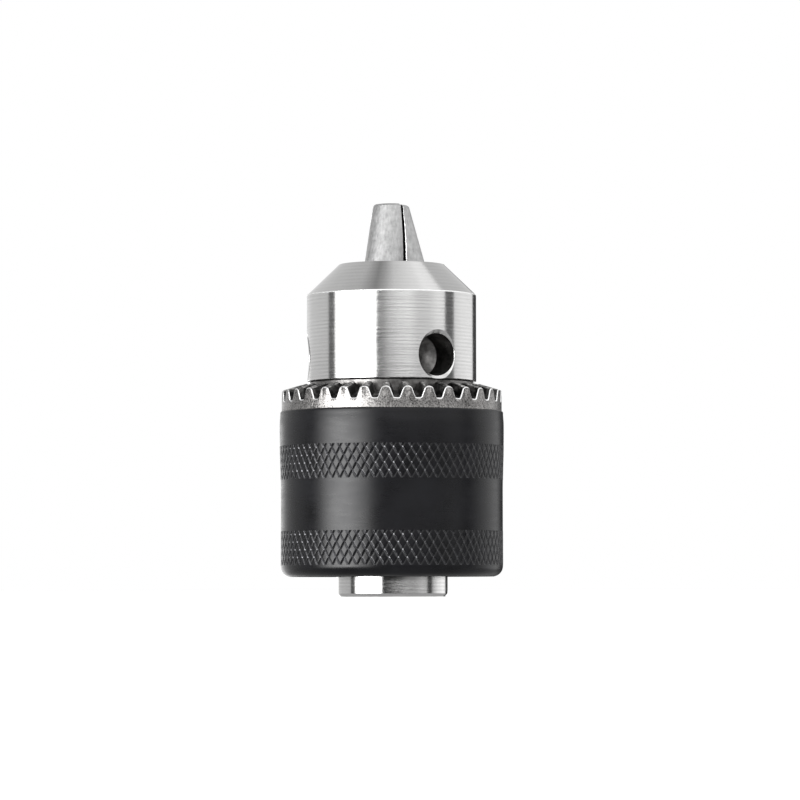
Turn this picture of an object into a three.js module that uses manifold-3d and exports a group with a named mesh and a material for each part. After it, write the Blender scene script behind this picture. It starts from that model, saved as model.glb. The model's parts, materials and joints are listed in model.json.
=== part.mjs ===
// A keyed three-jaw drill chuck with a 13 mm capacity and a 1/2 in - 20 UNF spindle thread, in millimetres.
//
// The chuck stands on the rear collar of its body with the jaws up: +Z is the spindle axis, the origin is the
// centre of the collar's rear face, and azimuths are counted from +X towards +Y. Three jaws slide in inclined
// bores of the body. A split nut, pressed into the knurled sleeve, turns in a groove of the body and drives
// thread teeth on the back of the jaws. A chuck key pilots in one of three radial holes and turns the sleeve
// by the crown of bevel teeth at its front edge. The jaws are drawn shut.

import * as THREE from "three";
import { mergeVertices } from "three/addons/utils/BufferGeometryUtils.js";
import Module from "manifold-3d";

const wasm = await Module();
wasm.setup();

const DEG = Math.PI / 180;
const TURN = 2 * Math.PI;

// ---- Driving dimensions ----

const ROUND_SEGMENTS = 48; // facets of the turned pieces
const JAW_COUNT = 3;
const RUNNING_GAP = 0.3; // between pieces that move on each other

// Jaw line: each jaw is a round rod whose axis leans towards the spindle axis.
const NOSE_Z = 63.7;
const JAW_ANGLE = 15.5 * DEG;
const JAW_R = 3.78;
const JAW_AXIS_AT_NOSE = 2.58; // radius of the rod's axis in the plane of the nose
const JAW_TIP_Z = 75.45;
const JAW_TAIL_Z = 33.3;
const JAW_FACETS = 16;
const JAW_TIP_CHAMFER = 0.9;
const GRIP_R_SHUT = 0.75; // the shut jaws hold a 1.5 mm drill
const GRIP_R_OPEN = 6.5; // the open jaws hold a 13 mm drill

// Thread between the nut and the jaws.
const JAW_THREAD_PITCH = 1.8; // measured along the jaw
const THREAD_BITE = 0.9; // how far the nut's thread reaches into the jaw
const FLANK_SLOPE = Math.tan(15 * DEG);
const RIDGE_HALF_CREST = 0.25;
const FLANK_GAP = 0.15;
const CREST_GAP = 0.3;
const THREAD_STEPS = 24; // steps in one turn of the nut's thread, and in the jaws' grooves

// Body.
const BODY_R = 16.25;
const NOSE_FLAT_R = 10.1;
const NOSE_SHOULDER_Z = 57.8; // where the nose cone meets the cylinder
const BODY_SHOULDER_Z = 41.1; // the cylinder's lower edge, just above the sleeve's teeth
const NECK_R = 15.6;
const GROOVE_R = 12.4;
const BARREL_R = 18.3; // between the groove and the rear flange
const FLANGE_R = 19.1;
const FLANGE_TOP_Z = 9.0;
const COLLAR_R = 10.65;
const COLLAR_HEIGHT = 4.3;
const SHANK_BORE_R = 6.7;
const SHANK_BORE_FLOOR_Z = 24.0;
const SCREW_HOLE_R = 3.5;
const SPINDLE_HOLE_R = 5.8; // minor radius of 1/2 in - 20 UNF
const SPINDLE_HOLE_DEPTH = 17.5;

// Key holes, one between each two jaws.
const KEY_HOLE_R = 4.0;
const KEY_HOLE_Z = 45.7;
const KEY_HOLE_FLOOR_R = 9.7; // where the drilled wall ends and the drill point begins
const KEY_HOLE_CHAMFER = 0.7;
const KEY_HOLE_FACETS = 24;
const DRILL_POINT_SLOPE = Math.tan(31 * DEG);

// Sleeve.
const SLEEVE_REAR_Z = 3.75;
const SLEEVE_LOW_R = 21.26;
const SLEEVE_STRAIGHT_TO_Z = 21.75; // from here up it swells a little, to its widest under the crown
const SLEEVE_BULGE_R = 21.5;
const SLEEVE_BULGE_Z = 32.0;
const SLEEVE_EDGE_R = 21.3;
const CROWN_R = 21.1;
const CROWN_BASE_Z = 35.4;
const CORNER_R = 2.0;
const SLEEVE_REAR_BORE_R = 19.4;
const SLEEVE_RELIEF_R = 20.0; // a groove that the open jaws' tails stand in
const SLEEVE_RELIEF_LOW_Z = 11.2;
const SLEEVE_RELIEF_HIGH_Z = 20.0;
const NUT_SEAT_R = 18.9;
const LIP_BORE_R = 16.45;
const LIP_Z = 36.6;

// Crown teeth: every line of a tooth runs to the point where the key's axis crosses the spindle axis.
const TOOTH_COUNT = 32;
const TOOTH_TIP_Z = 39.4; // at the outer radius of the crown
const TOOTH_ROOT_Z = 37.2;
const GAP_HALF_ROOT = 0.55 / CROWN_R; // half widths of a tooth gap, in radians
const GAP_HALF_TIP = 1.38 / CROWN_R;
const FIRST_GAP_AZIMUTH = -90.25 * DEG;

// Nut.
const NUT_R = 18.75;
const NUT_REAR_Z = 28.0;
const NUT_FRONT_Z = 36.3;
const NUT_SPLIT_GAP = 0.3;
const NUT_SPLIT_AZIMUTH = 30 * DEG;

// ---- Worked out from them ----

const JAW_SLOPE = Math.tan(JAW_ANGLE);
const JAW_HALF_DEPTH = JAW_R / Math.cos(JAW_ANGLE); // the rod's half section, measured square to the spindle
const JAW_OUTWARD_TRAVEL = GRIP_R_OPEN - GRIP_R_SHUT;
const JAW_DROP = JAW_OUTWARD_TRAVEL / JAW_SLOPE; // how far the jaws sink from shut to open
const THREAD_LEAD = JAW_THREAD_PITCH * Math.cos(JAW_ANGLE); // the pitch along the spindle axis
const TIP_SLOPE = (KEY_HOLE_Z - TOOTH_TIP_Z) / CROWN_R;
const ROOT_SLOPE = (KEY_HOLE_Z - TOOTH_ROOT_Z) / CROWN_R;

const jawAxisR = (z) => JAW_AXIS_AT_NOSE + (NOSE_Z - z) * JAW_SLOPE;
const jawBackR = (z) => jawAxisR(z) + JAW_HALF_DEPTH; // radius of the jaw's outermost line

// ---- Solids from three.js geometry ----

function solid(geometry) {
  const flat = geometry.index ? geometry.toNonIndexed() : geometry.clone();
  flat.deleteAttribute("normal");
  flat.deleteAttribute("uv");
  const merged = mergeVertices(flat, 1e-4);
  const corners = [];
  const index = merged.index.array;
  for (let i = 0; i < index.length; i += 3) {
    const [a, b, c] = index.slice(i, i + 3);
    if (a !== b && b !== c && c !== a) corners.push(a, b, c);
  }
  return new wasm.Manifold(
    new wasm.Mesh({
      numProp: 3,
      vertProperties: merged.attributes.position.array,
      triVerts: new Uint32Array(corners),
    }),
  );
}

function geometryOf(manifold) {
  const made = manifold.getMesh();
  const geometry = new THREE.BufferGeometry();
  geometry.setAttribute("position", new THREE.BufferAttribute(made.vertProperties, 3));
  geometry.setIndex(new THREE.BufferAttribute(made.triVerts, 1));
  geometry.computeVertexNormals();
  return geometry;
}

// A solid turned about the spindle axis from [radius, z] points that go round it anticlockwise.
function turned(profile, segments = ROUND_SEGMENTS) {
  const points = [...profile, profile[0]].map(([r, z]) => new THREE.Vector2(r, z));
  const geometry = new THREE.LatheGeometry(points, segments);
  geometry.rotateX(90 * DEG);
  return solid(geometry);
}

// Points of a circular arc in a profile, from one angle to another.
function arc([r, z], radius, from, to, steps) {
  return Array.from({ length: steps + 1 }, (_, i) => {
    const angle = from + ((to - from) * i) / steps;
    return [r + radius * Math.cos(angle), z + radius * Math.sin(angle)];
  });
}

// A rod on the line of the jaw at azimuth 0, its ends square to that line at the two heights.
function jawRod(radius, lowZ, highZ) {
  const length = (highZ - lowZ) / Math.cos(JAW_ANGLE);
  const geometry = new THREE.CylinderGeometry(radius, radius, length, JAW_FACETS);
  geometry.rotateX(90 * DEG);
  geometry.rotateY(-JAW_ANGLE);
  const middle = (lowZ + highZ) / 2;
  geometry.translate(jawAxisR(middle), 0, middle);
  return solid(geometry);
}

const aboutAxis = (manifold, azimuth) => manifold.rotate([0, 0, azimuth / DEG]);
const joined = (parts) => parts.reduce((all, next) => all.add(next));
const jawAzimuths = Array.from({ length: JAW_COUNT }, (_, i) => (i * TURN) / JAW_COUNT);
const keyAzimuths = jawAzimuths.map((azimuth) => azimuth + TURN / JAW_COUNT / 2);

// ---- Body ----

function bodyTurning() {
  const lead = 0.5; // chamfer of the collar and of the bores' mouths
  const edge = 0.2; // chamfer of the cylinder's lower edge
  return turned([
    [COLLAR_R - lead, 0],
    [COLLAR_R, lead],
    [COLLAR_R, COLLAR_HEIGHT],
    [FLANGE_R - lead, COLLAR_HEIGHT],
    [FLANGE_R, COLLAR_HEIGHT + lead],
    [FLANGE_R, FLANGE_TOP_Z],
    [BARREL_R, FLANGE_TOP_Z + FLANGE_R - BARREL_R],
    [BARREL_R, NUT_REAR_Z - RUNNING_GAP],
    [GROOVE_R, NUT_REAR_Z - RUNNING_GAP],
    [GROOVE_R, NUT_FRONT_Z + RUNNING_GAP],
    [NECK_R, NUT_FRONT_Z + RUNNING_GAP],
    [NECK_R, BODY_SHOULDER_Z],
    [BODY_R - edge, BODY_SHOULDER_Z],
    [BODY_R, BODY_SHOULDER_Z + edge],
    [BODY_R, NOSE_SHOULDER_Z],
    [NOSE_FLAT_R, NOSE_Z],
    [SHANK_BORE_R + lead, NOSE_Z],
    [SHANK_BORE_R, NOSE_Z - lead],
    [SHANK_BORE_R, SHANK_BORE_FLOOR_Z],
    [SCREW_HOLE_R, SHANK_BORE_FLOOR_Z - (SHANK_BORE_R - SCREW_HOLE_R) * DRILL_POINT_SLOPE],
    [SCREW_HOLE_R, SPINDLE_HOLE_DEPTH + (SPINDLE_HOLE_R - SCREW_HOLE_R) * DRILL_POINT_SLOPE],
    [SPINDLE_HOLE_R, SPINDLE_HOLE_DEPTH],
    [SPINDLE_HOLE_R, 2 * lead],
    [SPINDLE_HOLE_R + 2 * lead, 0],
  ]);
}

// The bore that a jaw slides in, at azimuth 0. It stops in the body's rear part and opens through its side.
function jawBore() {
  const lowZ = JAW_TAIL_Z - JAW_DROP - 2 * RUNNING_GAP - JAW_R * Math.sin(JAW_ANGLE);
  return jawRod(JAW_R + RUNNING_GAP, lowZ, NOSE_Z + 2 * JAW_R);
}

// A drilled and countersunk key hole along +X.
function keyHole() {
  const point = KEY_HOLE_FLOOR_R - KEY_HOLE_R * DRILL_POINT_SLOPE;
  const past = KEY_HOLE_R; // how far the cutter runs out of the body
  const hole = new THREE.LatheGeometry(
    [
      [0, point],
      [KEY_HOLE_R, KEY_HOLE_FLOOR_R],
      [KEY_HOLE_R, BODY_R - KEY_HOLE_CHAMFER],
      [KEY_HOLE_R + KEY_HOLE_CHAMFER + past, BODY_R + past],
      [0, BODY_R + past],
    ].map(([r, x]) => new THREE.Vector2(r, x)),
    KEY_HOLE_FACETS,
  );
  hole.rotateZ(-90 * DEG);
  hole.translate(0, 0, KEY_HOLE_Z);
  return solid(hole);
}

function chuckBody() {
  const bores = jawAzimuths.map((azimuth) => aboutAxis(jawBore(), azimuth));
  const holes = keyAzimuths.map((azimuth) => aboutAxis(keyHole(), azimuth));
  return bodyTurning().subtract(joined([...bores, ...holes]));
}

// ---- Jaws ----

// The rod with its tip and tail trimmed, at azimuth 0.
function jawBlank() {
  const reach = 6; // how far the uncut rod runs past the finished jaw
  const tipFlatR = jawBackR(JAW_TIP_Z) - JAW_TIP_CHAMFER;
  const tipCone = turned([
    [0, JAW_TAIL_Z],
    [tipFlatR + JAW_TIP_Z - JAW_TAIL_Z, JAW_TAIL_Z],
    [tipFlatR, JAW_TIP_Z],
    [0, JAW_TIP_Z],
  ]);
  const clearOfSleeve = turned([
    [0, JAW_TAIL_Z - reach],
    [SLEEVE_RELIEF_R - RUNNING_GAP, JAW_TAIL_Z - reach],
    [SLEEVE_RELIEF_R - RUNNING_GAP, JAW_TIP_Z + reach],
    [0, JAW_TIP_Z + reach],
  ]).translate([-JAW_OUTWARD_TRAVEL, 0, 0]);
  const uncut = jawRod(JAW_R, JAW_TAIL_Z - reach, JAW_TIP_Z + reach);
  return uncut.intersect(tipCone).intersect(clearOfSleeve);
}

// The sector that one jaw may fill when shut, with its narrow gripping land towards the axis.
function jawSector() {
  const reach = 40;
  const half = Math.PI / JAW_COUNT;
  const sideAt = (x) => x * Math.tan(half) - RUNNING_GAP / 2 / Math.cos(half);
  const outline = new THREE.Shape([
    new THREE.Vector2(GRIP_R_SHUT, -sideAt(GRIP_R_SHUT)),
    new THREE.Vector2(reach, -sideAt(reach)),
    new THREE.Vector2(reach, sideAt(reach)),
    new THREE.Vector2(GRIP_R_SHUT, sideAt(GRIP_R_SHUT)),
  ]);
  return solid(new THREE.ExtrudeGeometry(outline, { depth: 2 * reach, bevelEnabled: false }));
}

// One annular groove of a jaw's thread teeth, tilted by the thread's lead. It lies a little deeper and wider
// than the nut's ridge that runs in it.
function threadGroove(z) {
  const floorHalf = RIDGE_HALF_CREST + FLANK_GAP;
  const mouth = 2.0; // how far the cutter stands out of the jaw
  const depth = THREAD_BITE + CREST_GAP;
  const mouthHalf = floorHalf + (depth + mouth) * FLANK_SLOPE;
  const floorAt = (dz) => [jawBackR(z + dz) - depth, dz];
  const ring = turned(
    [
      floorAt(-floorHalf),
      [jawBackR(z) + mouth, -mouthHalf],
      [jawBackR(z) + mouth, mouthHalf],
      floorAt(floorHalf),
    ],
    THREAD_STEPS,
  );
  const lead = Math.atan(THREAD_LEAD / (TURN * jawBackR(NUT_REAR_Z)));
  return ring.rotate([lead / DEG, 0, 0]).translate([0, 0, z]);
}

// Heights at which the nut's ridge passes an azimuth, as far up the jaw as the nut reaches when it is open.
function ridgeHeights(azimuth) {
  const lowest = NUT_REAR_Z + THREAD_LEAD * (azimuth / TURN);
  const highest = NUT_FRONT_Z + JAW_DROP + THREAD_LEAD;
  const heights = [];
  for (let z = lowest; z < highest; z += THREAD_LEAD) {
    if (z > JAW_TAIL_Z - THREAD_LEAD) heights.push(z);
  }
  return heights;
}

function jaw(azimuth) {
  const grooves = ridgeHeights(azimuth).map(threadGroove);
  const made = jawBlank().intersect(jawSector()).subtract(joined(grooves));
  return aboutAxis(made, azimuth);
}

// ---- Split nut ----

// The helical ridge inside the nut, whose crest lies on a cone that follows the jaws' backs.
function nutRidge() {
  const root = 0.55; // how far the ridge's foot is sunk behind the jaws' backs, into the nut
  const footHalf = RIDGE_HALF_CREST + (THREAD_BITE + root) * FLANK_SLOPE;
  const turns = Math.ceil((NUT_FRONT_Z - NUT_REAR_Z) / THREAD_LEAD) + 2;
  const section = [
    [-THREAD_BITE, -RIDGE_HALF_CREST],
    [root, -footHalf],
    [root, footHalf],
    [-THREAD_BITE, RIDGE_HALF_CREST],
  ];
  const positions = [];
  const corners = [];
  const last = turns * THREAD_STEPS;
  for (let i = 0; i <= last; i++) {
    const angle = (i / THREAD_STEPS) * TURN;
    const z = NUT_REAR_Z + (i / THREAD_STEPS - 1) * THREAD_LEAD;
    for (const [dr, dz] of section) {
      const r = jawBackR(z + dz) + dr;
      positions.push(r * Math.cos(angle), r * Math.sin(angle), z + dz);
    }
  }
  for (let i = 0; i < last; i++) {
    for (let k = 0; k < 4; k++) {
      const [a, b] = [4 * i + k, 4 * i + ((k + 1) % 4)];
      corners.push(a, a + 4, b, b, a + 4, b + 4);
    }
  }
  corners.push(0, 1, 2, 0, 2, 3);
  corners.push(4 * last, 4 * last + 2, 4 * last + 1, 4 * last, 4 * last + 3, 4 * last + 2);
  const geometry = new THREE.BufferGeometry();
  geometry.setAttribute("position", new THREE.Float32BufferAttribute(positions, 3));
  geometry.setIndex(corners);
  return solid(geometry);
}

function nut() {
  const chamfer = 0.5;
  const crestGap = 0.25; // behind the jaws' backs
  const ring = turned(
    [
      [jawBackR(NUT_REAR_Z) + crestGap, NUT_REAR_Z],
      [NUT_R - chamfer, NUT_REAR_Z],
      [NUT_R, NUT_REAR_Z + chamfer],
      [NUT_R, NUT_FRONT_Z - chamfer],
      [NUT_R - chamfer, NUT_FRONT_Z],
      [jawBackR(NUT_FRONT_Z) + crestGap, NUT_FRONT_Z],
    ],
  );
  const slabR = NUT_R - 2 * chamfer;
  const slab = turned([
    [0, NUT_REAR_Z],
    [slabR, NUT_REAR_Z],
    [slabR, NUT_FRONT_Z],
    [0, NUT_FRONT_Z],
  ]);
  return ring.add(nutRidge().intersect(slab));
}

// The half of the nut on one side of the crack that lets it be put in the body's groove.
function nutHalf(azimuth) {
  const reach = 2 * NUT_R;
  const block = new THREE.BoxGeometry(reach, 2 * reach, 2 * reach);
  block.translate(reach / 2 + NUT_SPLIT_GAP / 2, 0, 0);
  return nut().intersect(aboutAxis(solid(block), azimuth));
}

// ---- Sleeve ----

function sleeveTurning() {
  const chamfer = 0.3;
  const cornerStart = -75 * DEG;
  const cornerSteps = 4;
  const cornerAt = [SLEEVE_LOW_R - CORNER_R, SLEEVE_REAR_Z + CORNER_R];
  const corner = arc(cornerAt, CORNER_R, cornerStart, 0, cornerSteps);
  return turned([
    [SLEEVE_REAR_BORE_R, SLEEVE_REAR_Z + chamfer],
    ...corner,
    [SLEEVE_LOW_R, SLEEVE_STRAIGHT_TO_Z],
    [SLEEVE_BULGE_R, SLEEVE_BULGE_Z],
    [SLEEVE_EDGE_R, CROWN_BASE_Z - chamfer],
    [CROWN_R, CROWN_BASE_Z],
    [CROWN_R, TOOTH_TIP_Z],
    [LIP_BORE_R, KEY_HOLE_Z - TIP_SLOPE * LIP_BORE_R],
    [LIP_BORE_R, LIP_Z],
    [NUT_SEAT_R, LIP_Z],
    [NUT_SEAT_R, SLEEVE_RELIEF_HIGH_Z + SLEEVE_RELIEF_R - NUT_SEAT_R],
    [SLEEVE_RELIEF_R, SLEEVE_RELIEF_HIGH_Z],
    [SLEEVE_RELIEF_R, SLEEVE_RELIEF_LOW_Z],
    [SLEEVE_REAR_BORE_R, SLEEVE_RELIEF_LOW_Z - SLEEVE_RELIEF_R + SLEEVE_REAR_BORE_R],
  ]);
}

// The space between two crown teeth at azimuth 0: a wedge whose lines all run to the crown's apex.
function toothGap() {
  const slopeAbove = 0.2; // a slope that clears the tooth tips
  const past = 2; // how far the cutter runs out of the crown
  const halfAbove =
    GAP_HALF_TIP + ((GAP_HALF_TIP - GAP_HALF_ROOT) * (TIP_SLOPE - slopeAbove)) / (ROOT_SLOPE - TIP_SLOPE);
  const outline = new THREE.Shape([
    new THREE.Vector2(-GAP_HALF_ROOT, -ROOT_SLOPE),
    new THREE.Vector2(GAP_HALF_ROOT, -ROOT_SLOPE),
    new THREE.Vector2(halfAbove, -slopeAbove),
    new THREE.Vector2(-halfAbove, -slopeAbove),
  ]);
  const prism = new THREE.ExtrudeGeometry(outline, { depth: 1, bevelEnabled: false });
  const place = prism.getAttribute("position");
  const [nearR, farR] = [LIP_BORE_R - past, CROWN_R + past];
  for (let i = 0; i < place.count; i++) {
    const r = nearR + (farR - nearR) * place.getZ(i);
    place.setXYZ(i, r, place.getX(i) * r, KEY_HOLE_Z + place.getY(i) * r);
  }
  return solid(prism);
}

function sleeve() {
  const gaps = Array.from({ length: TOOTH_COUNT }, (_, i) =>
    aboutAxis(toothGap(), FIRST_GAP_AZIMUTH + (i * TURN) / TOOTH_COUNT),
  );
  return sleeveTurning().subtract(joined(gaps));
}

// ---- Assembly ----

const brightSteel = new THREE.MeshStandardMaterial({ color: 0xc4c5c8, metalness: 1, roughness: 0.3 });
const jawSteel = new THREE.MeshStandardMaterial({ color: 0xa9a9ab, metalness: 1, roughness: 0.42 });
const nutSteel = new THREE.MeshStandardMaterial({ color: 0x8c8c8e, metalness: 1, roughness: 0.5 });
const blackSteel = new THREE.MeshStandardMaterial({ color: 0x26272b, metalness: 0.6, roughness: 0.45 });

function piece(name, manifold, material) {
  const made = new THREE.Mesh(geometryOf(manifold), material);
  made.name = name;
  return made;
}

const chuck = new THREE.Group();
chuck.add(piece("chuck_body", chuckBody(), brightSteel));
chuck.add(piece("knurled_sleeve", sleeve(), blackSteel));
chuck.add(piece("nut_half_a", nutHalf(NUT_SPLIT_AZIMUTH), nutSteel));
chuck.add(piece("nut_half_b", nutHalf(NUT_SPLIT_AZIMUTH + Math.PI), nutSteel));
jawAzimuths.forEach((azimuth, i) => chuck.add(piece(`jaw_${i + 1}`, jaw(azimuth), jawSteel)));

export default chuck;
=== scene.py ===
# The looks of a keyed three-jaw drill chuck: turned bright body, black knurled sleeve with a crown of
# bevel teeth, three ground jaws and a split nut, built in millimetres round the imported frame.
import json
import math

import bpy
import numpy as np
from mathutils import Matrix, Vector


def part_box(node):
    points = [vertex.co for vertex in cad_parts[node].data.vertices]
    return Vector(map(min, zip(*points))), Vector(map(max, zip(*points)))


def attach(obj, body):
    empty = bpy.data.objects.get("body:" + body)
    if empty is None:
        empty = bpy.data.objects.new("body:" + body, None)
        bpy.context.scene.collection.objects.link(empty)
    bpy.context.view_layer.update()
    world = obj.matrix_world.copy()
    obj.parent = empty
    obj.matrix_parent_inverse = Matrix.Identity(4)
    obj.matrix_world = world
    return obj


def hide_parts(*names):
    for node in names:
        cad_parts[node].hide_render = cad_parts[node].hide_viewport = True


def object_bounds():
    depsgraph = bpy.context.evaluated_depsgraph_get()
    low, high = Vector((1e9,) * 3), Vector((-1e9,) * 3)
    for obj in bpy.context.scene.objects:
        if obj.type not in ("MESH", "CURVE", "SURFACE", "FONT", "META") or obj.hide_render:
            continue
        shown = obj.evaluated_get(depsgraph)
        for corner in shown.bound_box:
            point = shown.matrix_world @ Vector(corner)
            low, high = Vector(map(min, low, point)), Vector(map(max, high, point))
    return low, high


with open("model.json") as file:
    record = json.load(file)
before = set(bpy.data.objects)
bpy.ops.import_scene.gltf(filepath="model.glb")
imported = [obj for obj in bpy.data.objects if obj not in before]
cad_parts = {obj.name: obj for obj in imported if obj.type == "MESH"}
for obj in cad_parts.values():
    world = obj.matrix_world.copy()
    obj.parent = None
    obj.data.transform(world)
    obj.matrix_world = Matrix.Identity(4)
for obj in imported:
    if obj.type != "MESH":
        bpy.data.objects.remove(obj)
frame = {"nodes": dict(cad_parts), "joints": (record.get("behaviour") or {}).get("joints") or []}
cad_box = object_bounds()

MM = 0.001
TURN = 2 * math.pi

# ---- Driving dimensions, in millimetres: the frame's own, and those of the finer detail ----


def box_mm(node):
    low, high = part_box(node)
    return Vector(low) / MM, Vector(high) / MM


def joint(name):
    return next(j for j in frame["joints"] if j["name"] == name)


SLEEVE_REAR_Z = box_mm("knurled_sleeve")[0].z
SLEEVE_TOP_R = box_mm("knurled_sleeve")[1].x
NOSE_Z = box_mm("chuck_body")[1].z
JAW_TAIL_Z = box_mm("jaw_1")[0].z
JAW_TIP_Z = box_mm("jaw_1")[1].z
NUT_REAR_Z = box_mm("nut_half_a")[0].z
NUT_FRONT_Z = box_mm("nut_half_a")[1].z
JAW_ANGLE = math.acos(-joint("jaw_1_slide")["axis"][2])
JAW_COUNT = 3
JAW_SLIDE_PER_TURN = 1.8
THREAD_LEAD = JAW_SLIDE_PER_TURN * math.cos(JAW_ANGLE)
JAW_OUTWARD_TRAVEL = 5.75

# Body
BODY_R = 16.25
NOSE_FLAT_R = 10.1
NOSE_SHOULDER_Z = 57.8
BODY_SHOULDER_Z = 41.1
NECK_R = 15.6
GROOVE_R = 12.4
NUT_GAP = 0.3  # between the nut and each side of its groove
BARREL_R = 18.3
BARREL_REAR_Z = 9.8
FLANGE_R = 19.1
FLANGE_FRONT_Z = 9.0
COLLAR_R = 10.65
COLLAR_FRONT_Z = 4.3
SHANK_BORE_R = 6.7
SHANK_BORE_FLOOR_Z = 24.0
SCREW_HOLE_R = 3.5
SPINDLE_HOLE_R = 5.8
SPINDLE_HOLE_FLOOR_Z = 17.5
SPINDLE_THREAD_R = 6.35
SPINDLE_PITCH = 1.27
FEED_PITCH = 0.7  # of the tool marks

# Jaws
JAW_R = 3.78
JAW_AXIS_AT_NOSE = 2.58
JAW_GAP = 0.12  # between a jaw and its bore
JAW_SLIT = 0.5  # between two shut jaws
JAW_LAND = 0.75  # from the spindle axis to the edges of a shut jaw's gripping land, along the slits
SLIT_TURN = math.radians(2.5)  # the slits lie this much anticlockwise of midway between two jaws
SLIT_EDGE = 0.06  # depth of the worn edge beside a slit
THREAD_BITE = 0.9
JAW_SHORT_BY = (0.3, 0.0, 0.1)  # a used chuck's jaws don't end quite level

# Key holes
KEY_HOLE_R = 4.0
KEY_HOLE_Z = 45.7
KEY_HOLE_FLOOR_R = 9.7
KEY_HOLE_RIM = 0.75  # width of the countersink
DRILL_POINT_SLOPE = math.tan(math.radians(31))

# Sleeve
SLEEVE_REAR_BORE_R = 19.4  # round the flange
RELIEF_R = 20.0
RELIEF_Z = (11.2, 20.0)
NUT_SEAT_R = 18.9
LIP_REAR_Z = 36.6
LIP_BORE_R = 16.45

# Crown of teeth
TOOTH_COUNT = 32
CROWN_R = 21.1
CROWN_BASE_Z = 35.4
TOOTH_TIP_Z = 39.4
TOOTH_ROOT_Z = 37.2
GAP_HALF_ROOT = 0.55
GAP_HALF_TIP = 1.38
TOOTH_TIP_ROUNDING = 0.84
TOOTH_RING_RADII = (18.8, 17.3, LIP_BORE_R)  # rings of points on the teeth, inwards from the crown's edge
FIRST_GAP_AZIMUTH = math.radians(-90.25)

# Knurl
KNURL_LINES = 78
KNURL_STEPS = 12  # grid steps from one groove to the next
KNURL_ROWS = 27
KNURL_DEPTH = 0.13
KNURL_CREST = 0.03  # the pressed crests stand this much above the plain bands
KNURL_BANDS = ((6.0, 12.5), (22.3, 28.8))

JAW_SLOPE = math.tan(JAW_ANGLE)
JAW_HALF_DEPTH = JAW_R / math.cos(JAW_ANGLE)


def polar(radius, azimuth, z):
    return radius * math.cos(azimuth), radius * math.sin(azimuth), z


def jaw_axis_r(z):
    return JAW_AXIS_AT_NOSE + (NOSE_Z - z) * JAW_SLOPE


def jaw_back_r(z):
    return jaw_axis_r(z) + JAW_HALF_DEPTH


# ---- Outlines ----


def rounded(corners, steps=5):
    """Points of an outline whose (x, y, radius) corners are rounded off, or left sharp with radius 0."""
    points = []
    for i, (x, y, radius) in enumerate(corners):
        here = Vector((x, y))
        if radius == 0:
            points.append(here)
            continue
        to_last = (Vector(corners[i - 1][:2]) - here).normalized()
        to_next = (Vector(corners[(i + 1) % len(corners)][:2]) - here).normalized()
        half = to_last.angle(to_next) / 2
        centre = here + (to_last + to_next).normalized() * radius / math.sin(half)
        start = here + to_last * radius / math.tan(half) - centre
        sweep = math.pi - 2 * half
        side = 1 if to_last.x * to_next.y - to_last.y * to_next.x < 0 else -1
        for k in range(steps + 1):
            turned_by = Matrix.Rotation(side * sweep * k / steps, 2)
            points.append(centre + turned_by @ start)
    return [(p.x, p.y) for p in points]


def smoothstep(low, high, value):
    t = min(max((value - low) / (high - low), 0), 1)
    return t * t * (3 - 2 * t)


# ---- Meshes ----


class Skin:
    """Points in millimetres, and faces with the number of their finish, that become one closed mesh."""

    def __init__(self):
        self.points = []
        self.faces = []
        self.finishes = []

    def ring(self, points):
        first = len(self.points)
        self.points.extend(points)
        return list(range(first, len(self.points)))

    def circle(self, radius, z, count):
        return self.ring([polar(radius, TURN * k / count, z) for k in range(count)])

    def face(self, corners, finish):
        self.faces.append(corners)
        self.finishes.append(finish)

    def band(self, low, high, finish):
        """Four-sided faces between two rings with as many points."""
        count = len(low)
        for k in range(count):
            n = (k + 1) % count
            self.face((low[k], low[n], high[n], high[k]), finish)

    def azimuths(self, ring, start):
        """Azimuths along a ring, each from 0 to a turn past the azimuth start."""
        at = [math.atan2(self.points[i][1], self.points[i][0]) for i in ring]
        return [(a - start) % TURN for a in at]

    def zip(self, low, high, finish):
        """Triangles between two rings with different numbers of points."""
        start = math.atan2(self.points[low[0]][1], self.points[low[0]][0]) - 1e-6
        low_turns, high_turns = self.azimuths(low, start), self.azimuths(high, start)
        first = high_turns.index(min(high_turns))
        lower = [*low, low[0]]
        low_turns.append(low_turns[0] + TURN)
        upper = [*high[first:], *high[:first], high[first]]
        high_turns = [*high_turns[first:], *high_turns[:first], high_turns[first] + TURN]
        i = j = 0
        while i < len(low) or j < len(high):
            if j == len(high) or (i < len(low) and low_turns[i + 1] <= high_turns[j + 1]):
                self.face((lower[i], lower[i + 1], upper[j]), finish)
                i += 1
            else:
                self.face((lower[i], upper[j + 1], upper[j]), finish)
                j += 1

    def object(self, name):
        mesh = bpy.data.meshes.new(name)
        mesh.from_pydata(self.points, [], self.faces)
        mesh.polygons.foreach_set("material_index", self.finishes)
        made = bpy.data.objects.new(name, mesh)
        bpy.context.collection.objects.link(made)
        return made


def spun(profile, count, place=Matrix.Identity(4), name="cutter"):
    """A solid of revolution about Z, moved by place, from (radius, z) points that go round it anticlockwise.
    A point at radius 0 becomes one pole."""
    skin = Skin()
    rings = [skin.ring([(0, 0, z)]) if r == 0 else skin.circle(r, z, count) for r, z in profile]
    for low, high in zip(rings, rings[1:] + rings[:1]):
        if len(low) == 1 and len(high) == 1:
            continue
        if len(low) == 1:
            for k in range(count):
                skin.face((low[0], high[(k + 1) % count], high[k]), 0)
        elif len(high) == 1:
            for k in range(count):
                skin.face((low[k], low[(k + 1) % count], high[0]), 0)
        else:
            skin.band(low, high, 0)
    made = skin.object(name)
    made.data.transform(place)
    return made


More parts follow.
